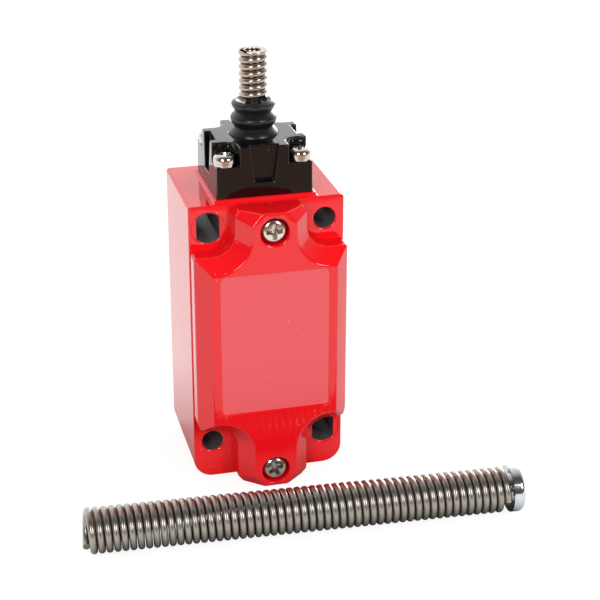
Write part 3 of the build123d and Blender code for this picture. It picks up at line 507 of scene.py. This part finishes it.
def wound(name, radius, wire, pitch, turns, start, material, ceiling=math.inf):
    """A wire wound round Z from height zero; the turn at the ceiling is closed and ground."""
    work = bmesh.new()
    texture = work.loops.layers.uv.new("UVMap")
    slope = pitch / (2 * math.pi)
    steps = round(turns * STEPS_PER_TURN)
    speed = math.hypot(radius, slope)
    rings = []
    for step in range(steps + 1):
        angle = 2 * math.pi * step / STEPS_PER_TURN
        turn = angle + start
        outward = Vector((math.cos(turn), math.sin(turn), 0))
        along = Vector((-radius * math.sin(turn), radius * math.cos(turn), slope)) / speed
        side = along.cross(outward)
        rise = min(slope * angle, ceiling - GROUND_SHARE * wire)
        centre = outward * radius + Vector((0, 0, rise))
        ring = []
        for corner in range(RING_SIDES):
            lean = 2 * math.pi * corner / RING_SIDES
            spot = centre + wire / 2 * (outward * math.cos(lean) + side * math.sin(lean))
            spot.z = min(spot.z, ceiling)
            ring.append(work.verts.new(spot))
        rings.append(ring)
    for step in range(steps):
        for corner in range(RING_SIDES):
            after = (corner + 1) % RING_SIDES
            face = work.faces.new((rings[step][corner], rings[step][after],
                                   rings[step + 1][after], rings[step + 1][corner]))
            face.smooth = True
            for loop, (s, c) in zip(face.loops, ((step, corner), (step, corner + 1),
                                                 (step + 1, corner + 1), (step + 1, corner))):
                length = speed * 2 * math.pi * s / STEPS_PER_TURN
                loop[texture].uv = (length, math.pi * wire * c / RING_SIDES)
    work.faces.new(list(reversed(rings[0])))
    work.faces.new(rings[-1])
    bmesh.ops.recalc_face_normals(work, faces=work.faces)
    for edge in work.edges:
        ground = {face.normal.z > FACING_UP for face in edge.link_faces}
        bent = edge.calc_face_angle(0) >= math.radians(CUT_END_DEG)
        edge.smooth = not bent and len(ground) < 2
    mesh = bpy.data.meshes.new(name)
    work.to_mesh(mesh)
    work.free()
    return link(name, mesh, material)


print("a turn of wire has", STEPS_PER_TURN, "steps of", RING_SIDES, "corners")

# %% [markdown]
# The stub spring is pressed on the stem's core. Its turns almost touch, and its last turn is
# closed and ground flat, which gives the bright flat ring on its top.

# %% Stub spring
STUB_WIRE_MM = 1.75
STUB_PITCH_MM = 1.8
STUB_TURNS = 7.72
STUB_START = math.radians(-30)

low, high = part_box("stub_spring")
stub_axis = (low + high) / 2
stub_radius = (high.x - low.x) / 2 - STUB_WIRE_MM * MM / 2
stub = wound("stub_coils", stub_radius, STUB_WIRE_MM * MM, STUB_PITCH_MM * MM,
             STUB_TURNS, STUB_START, stub_wire,
             ceiling=high.z - low.z - STUB_WIRE_MM * MM / 2)
stub.data.transform(Matrix.Translation(
    (stub_axis.x, stub_axis.y, low.z + STUB_WIRE_MM * MM / 2)))
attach(stub, "rod")
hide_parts("stub_spring")
print("stub spring", round((high.x - low.x) / MM, 2), "mm across,",
      round((high.z - low.z) / MM, 2), "mm tall")

# %% [markdown]
# The long spring lies on the ground in front. It is wound close, so the light between the coils
# goes out almost at once and the gaps read as black lines. Its axis follows from the solids: it
# runs from the middle of the spring to the middle of its cap.

# %% Long spring
ROD_WIRE_MM = 1.8
ROD_PITCH_MM = 1.92
ROD_START = math.radians(277)


def middle(source):
    """Middle of a node's box."""
    low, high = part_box(source)
    return (low + high) / 2


rod_middle = middle("rod_spring")
rod_axis = (middle("rod_cap") - rod_middle).normalized()
reach = [(v.co - rod_middle).dot(rod_axis) for v in nodes["rod_spring"].data.vertices]
low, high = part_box("rod_spring")
rod_radius = (high.z - low.z) / 2 - ROD_WIRE_MM * MM / 2
rod_turns = (max(reach) - min(reach) - ROD_WIRE_MM * MM) / (ROD_PITCH_MM * MM)
rod = wound("rod_coils", rod_radius, ROD_WIRE_MM * MM, ROD_PITCH_MM * MM, rod_turns,
            ROD_START, rod_wire)
lay = rod_axis.to_track_quat("Z", "Y").to_matrix().to_4x4()
start = rod_middle + rod_axis * (min(reach) + ROD_WIRE_MM * MM / 2)
rod.data.transform(Matrix.Translation(start) @ lay)
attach(rod, "root")
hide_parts("rod_spring")
print("long spring:", round(rod_turns, 1), "turns over", round((max(reach) - min(reach)) / MM, 1),
      "mm")

# %% [markdown]
# ## Turned and moulded shapes
# A screw head and a moulded boot are both round about an axis, so one helper serves both: it
# spins an outline and keeps only the sharp edges hard. Blender has a spin tool, but the order of
# its faces changes from run to run, so the rings are laid one by one.

# %% Spun shapes
SPIN_STEPS = 96
HARD_EDGE_DEG = 40


def spun(name, outline, material):
    """An outline of radius and height, in millimetres, spun round the Z axis. It is closed,
    or ends on the axis."""
    work = bmesh.new()
    rings = []
    for radius, height in outline:
        turns = [2 * math.pi * step / SPIN_STEPS for step in range(SPIN_STEPS if radius else 1)]
        ring = [work.verts.new((radius * math.cos(turn) * MM, radius * math.sin(turn) * MM,
                                height * MM)) for turn in turns]
        rings.append(ring if radius else ring * SPIN_STEPS)
    bands = list(zip(rings, rings[1:]))
    if outline[0][0] > 0 and outline[-1][0] > 0:
        bands.append((rings[-1], rings[0]))
    for lower, upper in bands:
        for i in range(SPIN_STEPS):
            j = (i + 1) % SPIN_STEPS
            work.faces.new(dict.fromkeys((lower[i], lower[j], upper[j], upper[i])))
    bmesh.ops.recalc_face_normals(work, faces=work.faces)
    for face in work.faces:
        face.smooth = True
    for edge in work.edges:
        edge.smooth = edge.calc_face_angle(0) < math.radians(HARD_EDGE_DEG)
    mesh = bpy.data.meshes.new(name)
    work.to_mesh(mesh)
    work.free()
    return link(name, mesh, material)


print("spun shapes have", SPIN_STEPS, "sides")

# %% [markdown]
# ## The boot
# The rubber boot closes the gap between the moving stem and the head. It has three rings with
# narrow waists between them, so that it can fold to any side. Three rings could be joined, but
# one outline that is spun keeps the wall whole: up the outside from the lip, over the top to the
# grip round the stem, and down the inside. It is set on the head's axis with its lip in the
# head's seat.

# %% Boot
BOOT_RINGS_MM = ((6.3, -0.2), (5.9, 4.1), (5.6, 7.9))
BOOT_WAISTS_MM = ((4.95, 1.9), (4.65, 5.8))
RING_FULLNESS = 0.6
FOOT_STEPS, RING_STEPS, TOP_STEPS = 6, 10, 8
NECK_RADIUS_MM = 5.3
NECK_BELOW_RING_MM = 1.0
LIP_SIDE_MM = 0.9
LIP_TOP_MM = 1.1
SHOULDER_RADIUS_MM = 4.5
SHOULDER_ABOVE_RING_MM = 0.8
BOOT_TOP_MM = ((3.9, 8.5), (3.1, 7.95))
BOOT_GRIP_MM = ((2.05, 7.75), (2.05, 6.85))
BOOT_INSIDE_MM = ((3.3, 6.8), (3.6, 5.8), (4.3, 4.1), (3.8, 1.9))
LIP_BORE_RADIUS_MM = 4.1


def bulge(ring, waist, steps):
    """Points from a ring's widest place to a waist, round at both ends."""
    (wide, height), (narrow, end) = ring, waist
    for step in range(steps + 1):
        part = step / steps
        swell = (0.5 + 0.5 * math.cos(math.pi * part)) ** RING_FULLNESS
        yield narrow + (wide - narrow) * swell, height + (end - height) * part


low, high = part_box("boot")
lip_radius = (high.x - low.x) / 2 / MM
lip_height = (low.z - head_top) / MM
first, last = BOOT_RINGS_MM[0], BOOT_RINGS_MM[-1]
neck = (NECK_RADIUS_MM, first[1] - NECK_BELOW_RING_MM)
shoulder = (SHOULDER_RADIUS_MM, last[1] + SHOULDER_ABOVE_RING_MM)
outline = [(lip_radius, lip_height), (lip_radius, lip_height + LIP_SIDE_MM),
           (NECK_RADIUS_MM, lip_height + LIP_TOP_MM)]
outline += reversed(list(bulge(first, neck, FOOT_STEPS)))
for ring, waist, above in zip(BOOT_RINGS_MM, BOOT_WAISTS_MM, BOOT_RINGS_MM[1:]):
    outline += list(bulge(ring, waist, RING_STEPS))[1:]
    outline += list(reversed(list(bulge(above, waist, RING_STEPS))))[1:]
outline += list(bulge(last, shoulder, TOP_STEPS))[1:]
outline += [*BOOT_TOP_MM, *BOOT_GRIP_MM, *BOOT_INSIDE_MM, (LIP_BORE_RADIUS_MM, lip_height)]
boot = spun("rubber_boot", outline, boot_rubber)
boot.data.transform(Matrix.Translation(head_axis + Vector((0, 0, head_top))))
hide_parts("boot")
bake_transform(boot)
print("boot outline has", len(outline), "points")

# %% [markdown]
# ## Screws with a cross recess
# The four head screws and the two cover screws are pan-head machine screws. A pan head is a low
# dome with an upright side. The cross recess could be painted on, but it would stay flat when
# seen from the side. So it is cut, with a cutter that narrows as it goes down, the way the real
# punch does.

# %% Recess cutter
ARM_SHARE = 0.32
ARM_WIDTH_SHARE = 0.085
CORNER_SHARE = 1.7
RECESS_SHARE = 0.28
RECESS_TAPER = 0.45
MOUTH_SHARE = 0.5
MOUTH_FLARE = 1.35


def cross_cutter(width, top):
    """Tapered cross that reaches from above the head down into it."""
    arm, half = width * ARM_SHARE, width * ARM_WIDTH_SHARE
    corner = half * CORNER_SHARE
    quarter = [(arm, -half), (arm, half), (corner, half), (half, corner)]
    outline = [Matrix.Rotation(math.pi / 2 * turn, 2) @ Vector(spot)
               for turn in range(4) for spot in quarter]
    work = bmesh.new()
    layers = []
    for height, scale in ((top + MOUTH_SHARE * width, MOUTH_FLARE), (top, 1.0),
                          (top - RECESS_SHARE * width, RECESS_TAPER)):
        layers.append([work.verts.new((v.x * scale * MM, v.y * scale * MM, height * MM))
                       for v in outline])
    count = len(outline)
    for upper, lower in zip(layers, layers[1:]):
        for i in range(count):
            j = (i + 1) % count
            work.faces.new((upper[i], lower[i], lower[j], upper[j]))
    work.faces.new(layers[0])
    work.faces.new(list(reversed(layers[-1])))
    bmesh.ops.recalc_face_normals(work, faces=work.faces)
    mesh = bpy.data.meshes.new("cutter")
    work.to_mesh(mesh)
    work.free()
    return link("cutter", mesh)


print("the recess goes", RECESS_SHARE, "of the head's width deep")

# %% [markdown]
# One screw is turned as a spun shape, with its seat at height zero, and the cutter is taken
# from it. The head is drawn at the size that the photo shows. The shank is hidden in its hole,
# so it stays a plain pin.

# %% One screw
HEAD_SIDE_MM = 0.7
HEAD_RISE_MM = 2.2
SHANK_MM = 3.0
SEAT_EDGE_MM = 0.15
DOME_FULLNESS = 0.4
DOME_STEPS = 12


def screw_mesh(width, length, rise):
    """Pan-head screw with a cross recess, seat at height zero, pointing down."""
    radius = width / 2
    dome = []
    for step in range(1, DOME_STEPS + 1):
        lean = math.pi / 2 * step / DOME_STEPS
        dome.append((radius * math.cos(lean) ** DOME_FULLNESS,
                     HEAD_SIDE_MM + (rise - HEAD_SIDE_MM) * math.sin(lean)))
    dome[-1] = (0, rise)
    outline = [(0, -length), (SHANK_MM / 2, -length), (SHANK_MM / 2, 0),
               (radius - SEAT_EDGE_MM, 0), (radius, SEAT_EDGE_MM), (radius, HEAD_SIDE_MM)] + dome
    screw = spun("screw", outline, screw_plate)
    cutter = cross_cutter(width, rise)
    cut = screw.modifiers.new("recess", "BOOLEAN")
    cut.object = cutter
    cut.solver = "EXACT"
    ready = screw.evaluated_get(bpy.context.evaluated_depsgraph_get())
    mesh = bpy.data.meshes.new_from_object(ready)
    bpy.data.objects.remove(screw)
    bpy.data.objects.remove(cutter)
    return mesh


print("screw shanks are", SHANK_MM, "mm thick")

# %% [markdown]
# The screws of one kind share a node, so their places are found by splitting its solids apart.
# Each screw stopped where its thread bit, so the crosses stand at different angles. In the
# solids both kinds of head rise 2.2 mm, and the cover's are drawn a little higher.

# %% Screws of the cover and the head
COVER_HEAD_MM, COVER_RISE_MM = 6.8, 2.6
TOP_HEAD_MM = 5.6
FIRST_TWIST_DEG, NEXT_TWIST_DEG = 23, 67


def loose_boxes(source):
    """Box of each separate solid in a node, in metres."""
    work = bmesh.new()
    work.from_mesh(nodes[source].data)
    bmesh.ops.remove_doubles(work, verts=work.verts, dist=MERGE_MM * MM)
    left = set(work.verts)
    boxes = []
    while left:
        group, front = set(), [left.pop()]
        while front:
            vert = front.pop()
            group.add(vert)
            near = {e.other_vert(vert) for e in vert.link_edges} & left
            left -= near
            front += near
        spots = [v.co for v in group]
        boxes.append((Vector(map(min, zip(*spots))), Vector(map(max, zip(*spots)))))
    work.free()
    return sorted(boxes, key=lambda b: tuple(b[0]))


def screws(name, source, facing, width, rise):
    """All screws of a node, in one piece; facing is the way their heads look."""
    boxes = loose_boxes(source)
    low, high = boxes[0]
    whole = max(high - low) / MM
    mesh = screw_mesh(width, whole - HEAD_RISE_MM, rise)
    look = facing.to_track_quat("Z", "Y").to_matrix().to_4x4()
    work = bmesh.new()
    for number, (low, high) in enumerate(boxes):
        spot = (low + high) / 2 + facing * (whole / 2 - HEAD_RISE_MM) * MM
        twist = Matrix.Rotation(math.radians(FIRST_TWIST_DEG + NEXT_TWIST_DEG * number), 4, "Z")
        one = mesh.copy()
        one.transform(Matrix.Translation(spot) @ look @ twist)
        work.from_mesh(one)
    merged = bpy.data.meshes.new(name)
    work.to_mesh(merged)
    work.free()
    piece = link(name, merged, screw_plate)
    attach(piece, "root")
    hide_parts(source)
    print(name, len(boxes), "screws, head", round(width, 2), "mm, length", round(whole, 2), "mm")


screws("cover_cross_screws", "cover_screws", Vector((0, -1, 0)), COVER_HEAD_MM, COVER_RISE_MM)
screws("head_cross_screws", "head_screws", Vector((0, 0, 1)), TOP_HEAD_MM, HEAD_RISE_MM)

# %% [markdown]
# ## Springs that shorten
# The plunger's spring and the carrier's spring stand on a fixed seat, and what they carry
# presses their upper end down. A spring that rode on one body would cut into the other. Here
# each is only copied with its finish and is attached to neither body.

# %% Springs that shorten
for source, moving in (("plunger_spring", "plunger"), ("carrier_spring", "carrier")):
    low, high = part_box(source)
    mesh = nodes[source].data.copy()
    mesh.materials.clear()
    piece = link(source.replace("spring", "coils"), mesh, inner_wire)
    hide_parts(source)
    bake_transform(piece)
    print(piece.name, "can shorten from", round((high.z - low.z) / MM, 2), "mm")

# %% [markdown]
# ## Finishes of the plain nodes
# The other solids keep their CAD form. Most of them are inside: the contact block, the bridges
# and their springs, the clamps and the plunger. Their solids have all the form that they need,
# so they only get the finish of their real material.

# %% Finishes of the plain nodes
PLAIN = {
    "rod_cap": cap_chrome, "stem_rocker": ground_steel, "pivot_ring": ground_steel,
    "head_washers": screw_plate, "plunger": ground_steel, "guide_bush": bronze,
    "plunger_seal": seal_rubber, "head_gasket": seal_rubber, "cover_gasket": seal_rubber,
    "contact_springs": inner_wire, "contact_tips": silver,
    "contact_block": black_moulding, "contact_carrier": white_moulding,
    "closed_contacts": brass, "open_contacts": brass,
    "closed_bridge": brass, "open_bridge": brass,
    "terminal_clamps": screw_plate, "terminal_screws": screw_plate,
    "block_screws": screw_plate, "earth_clamp": screw_plate, "earth_screw": screw_plate,
}
for source, material in PLAIN.items():
    nodes[source].data.materials.clear()
    nodes[source].data.materials.append(material)
print(len(PLAIN), "nodes keep their CAD form; drawn anew:", sorted(set(nodes) - set(PLAIN)))

# %% [markdown]
# ## Surroundings
# The photo was taken on white with large soft boxes. The camera sees a white world. Gloss paint
# and metal show what stands around them, so their reflections get surroundings of their own: a
# sky that is dark in front, where the unlit studio lies, and bright behind the object. The
# light that colours the faces comes from an even sky instead, because a one-sided one would
# shade them wrongly.

# %% White world
SKY_FOR_COLOUR = 0.75
SKY_FRONT, SKY_BACK = 0.1, 1.6
FRONT_END, BACK_END = -0.2, 0.95

world = bpy.data.worlds.new("white surroundings")
scene.world = world
world.use_nodes = True
tree = world.node_tree
tree.nodes.clear()
path = add(tree, "LightPath")
way = add(tree, "SeparateXYZ", {0: add(tree, "TexCoord").outputs["Generated"]})
sky = add(tree, "MapRange", {"Value": way.outputs["Y"], "From Min": FRONT_END,
                             "From Max": BACK_END, "To Min": SKY_FRONT, "To Max": SKY_BACK})
seen = add(tree, "Mix", {0: path.outputs["Is Glossy Ray"], 2: SKY_FOR_COLOUR, 3: sky.outputs[0]})
strength = add(tree, "Mix", {0: path.outputs["Is Camera Ray"], 2: seen.outputs[0], 3: 1.0})
glow = add(tree, "Background", {"Color": linear("#ffffff"), "Strength": strength.outputs[0]})
add(tree, "OutputWorld", {"Surface": glow.outputs[0]})
print("reflected sky from", SKY_FRONT, "in front to", SKY_BACK, "behind")

# %% [markdown]
# ## Lamps
# Two soft boxes in front, left and right, are mirrored as small bright shapes in the screws, the
# wire and the rubber. A larger one behind on the right lights the tops and the right edges. All
# three are plain lamps, and their watts were set by comparing each face with the photo.

# %% Soft boxes
LAMP_AIM_MM = (0, 0, 50)
BACK_AIM_MM = (0, 0, 60)


def soft_box(name, place_mm, aim_mm, width_mm, height_mm, watts):
    """Rectangular lamp at a place, turned to an aim."""
    lamp = bpy.data.lights.new(name, "AREA")
    lamp.shape = "RECTANGLE"
    lamp.size, lamp.size_y = width_mm * MM, height_mm * MM
    lamp.energy = watts
    body = bpy.data.objects.new(name, lamp)
    body.visible_camera = False
    scene.collection.objects.link(body)
    place, aim = Vector(place_mm) * MM, Vector(aim_mm) * MM
    body.matrix_world = Matrix.Translation(place) @ (
        place - aim).to_track_quat("Z", "Y").to_matrix().to_4x4()
    print(name, round((place - aim).length / MM), "mm from its aim,", watts, "W")


soft_box("left soft box", (-330, -520, 330), LAMP_AIM_MM, 160, 260, watts=1.7)
soft_box("right soft box", (330, -520, 330), LAMP_AIM_MM, 140, 240, watts=1.6)
soft_box("back soft box", (420, 620, 200), BACK_AIM_MM, 400, 300, watts=3.0)

# %% [markdown]
# ## Floor
# The floor is a white sheet that ends about a fifth of a metre in front, with a brown table
# beyond it, which the gloss paint mirrors. The camera sees it white but for a faint shade at the
# object. A reflection sees it lit, and darker close to the object. Light that bounces off it
# stays weak, or it would wash out the red.

# %% Floor
FLOOR_FOR_COLOUR = 0.35
FLOOR_FOR_GLOSS = 1.35
FLOOR_GLOW = 1.12
GLOW_SHARE = 0.75
SHEET_COLOUR, TABLE_COLOUR = "#ffffff", "#ae8a76"
SHEET_END_MM = -215
SHEET_FADE_MM = 15
SHADE_REACH_MM = 45
SHADE_POWER = 2.0
FLOOR_GAP_MM = 0.2
FLOOR_REACH_MM = 3000

floor_coat, tree, shader = finish("white sheet", {"Base Color": linear("#f4f4f4"),
                                                  "Roughness": 0.9})
path = add(tree, "LightPath")
spot = add(tree, "SeparateXYZ", {0: add(tree, "NewGeometry").outputs["Position"]})
sheet = add(tree, "MapRange", {"Value": spot.outputs["Y"],
                               "From Min": (SHEET_END_MM - SHEET_FADE_MM) * MM,
                               "From Max": SHEET_END_MM * MM})
shade = add(tree, "AmbientOcclusion", {"Distance": SHADE_REACH_MM * MM})
colour = add(tree, "Mix", {0: sheet.outputs[0], 6: linear(TABLE_COLOUR),
                           7: linear(SHEET_COLOUR)}, data_type="RGBA")
shaded = add(tree, "Math", {0: shade.outputs["AO"], 1: SHADE_POWER}, operation="POWER")
gloss = add(tree, "Math", {0: shaded.outputs[0], 1: FLOOR_FOR_GLOSS}, operation="MULTIPLY")
strength = add(tree, "Mix", {0: path.outputs["Is Glossy Ray"], 2: FLOOR_FOR_COLOUR,
                             3: gloss.outputs[0]})
around = add(tree, "Emission", {"Color": colour.outputs[2], "Strength": strength.outputs[0]})
bright = add(tree, "Emission", {"Color": linear("#ffffff"), "Strength": FLOOR_GLOW})
direct = add(tree, "MixShader", {0: GLOW_SHARE, 1: shader.outputs[0], 2: bright.outputs[0]})
either = add(tree, "MixShader", {0: path.outputs["Is Camera Ray"], 1: around.outputs[0],
                                 2: direct.outputs[0]})
tree.links.new(either.outputs[0], tree.nodes["Material Output"].inputs["Surface"])
work = bmesh.new()
bmesh.ops.create_grid(work, x_segments=1, y_segments=1, size=FLOOR_REACH_MM * MM)
mesh = bpy.data.meshes.new("floor")
work.to_mesh(mesh)
work.free()
floor = link("floor", mesh, floor_coat)
floor.location.z = cad_box[0][2] - FLOOR_GAP_MM * MM
print("floor", FLOOR_GAP_MM, "mm under the object")
